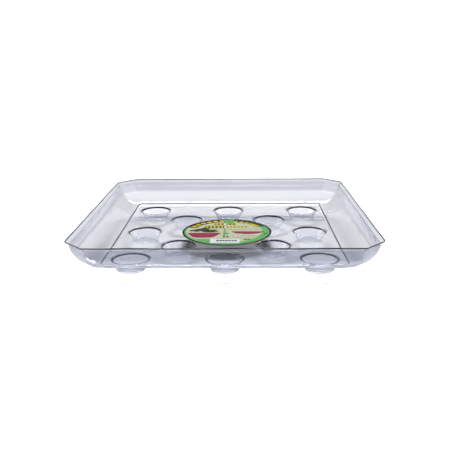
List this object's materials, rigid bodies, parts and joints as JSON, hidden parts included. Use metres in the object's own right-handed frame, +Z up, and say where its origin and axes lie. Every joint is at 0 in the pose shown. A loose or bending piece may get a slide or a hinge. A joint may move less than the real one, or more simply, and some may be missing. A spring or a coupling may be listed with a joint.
{
  "type": "square clear plant saucer tray",
  "caption": "Square clear plastic saucer tray with coved walls, a flared lip, cut corners, a stepped floor on hollow cup feet, and a round printed sticker.",
  "frame": {"origin": "middle of the plane the feet stand on, under the middle of the tray", "axes": "+Z up, out of the open top; -Y towards the front; X and Y along the straight sides"},
  "size_m": [0.305, 0.305, 0.0424],
  "materials": {
    "clear_sheet": "gloss",
    "adhesive": "satin",
    "sticker_face": "satin",
    "ink_outline": "gloss",
    "ink_green": "gloss",
    "ink_field": "gloss",
    "ink_maroon": "gloss",
    "ink_yellow": "gloss",
    "ink_leaf": "gloss",
    "ink_magenta": "gloss",
    "ink_black": "gloss",
    "clear_film": "gloss"
  },
  "bodies": {
    "root": {"tray": "clear_sheet", "label_adhesive": "adhesive", "label_face": "sticker_face", "label_ink_outline": "ink_outline", "label_ink_green": "ink_green", "label_ink_field": "ink_field", "label_ink_maroon": "ink_maroon", "label_ink_yellow": "ink_yellow", "label_ink_leaf": "ink_leaf", "label_ink_magenta": "ink_magenta", "label_ink_black": "ink_black", "label_film": "clear_film"}
  },
  "joints": []
}
